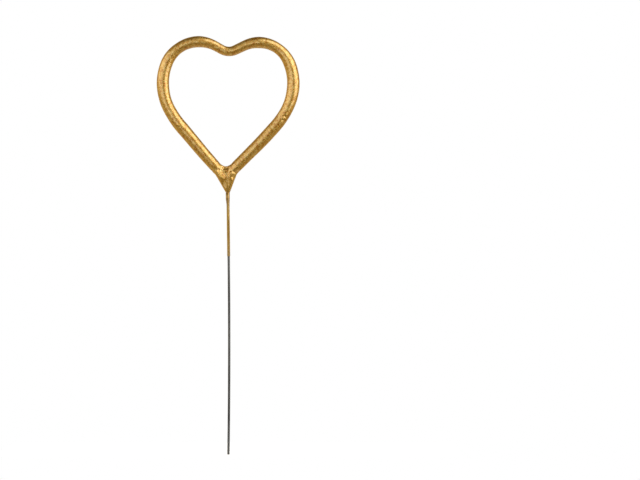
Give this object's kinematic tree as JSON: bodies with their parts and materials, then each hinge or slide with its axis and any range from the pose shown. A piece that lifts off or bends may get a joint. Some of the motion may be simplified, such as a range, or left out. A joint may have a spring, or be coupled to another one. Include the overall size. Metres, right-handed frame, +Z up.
{
  "type": "heart-shaped sparkler",
  "caption": "Hand-held or cake sparkler: a steel wire bent into a heart, dipped thickly in spark composition and gold lacquer, on a long bare wire stem.",
  "frame": {"origin": "middle of the cut end of the wire stem", "axes": "+Z up the stem to the heart, the heart flat in the X-Z plane, the pictured side facing -Y"},
  "size_m": [0.0612, 0.0052, 0.18],
  "materials": {
    "steel_wire": "drawn mild steel, dull grey",
    "spark_composition": "baked grey mineral crust, matt and grainy",
    "gold_lacquer": "metallic gold lacquer, satin, fine grain"
  },
  "bodies": {
    "root": {"core_wire": "steel_wire", "spark_coat": "spark_composition", "gold_coat": "gold_lacquer"}
  },
  "joints": []
}
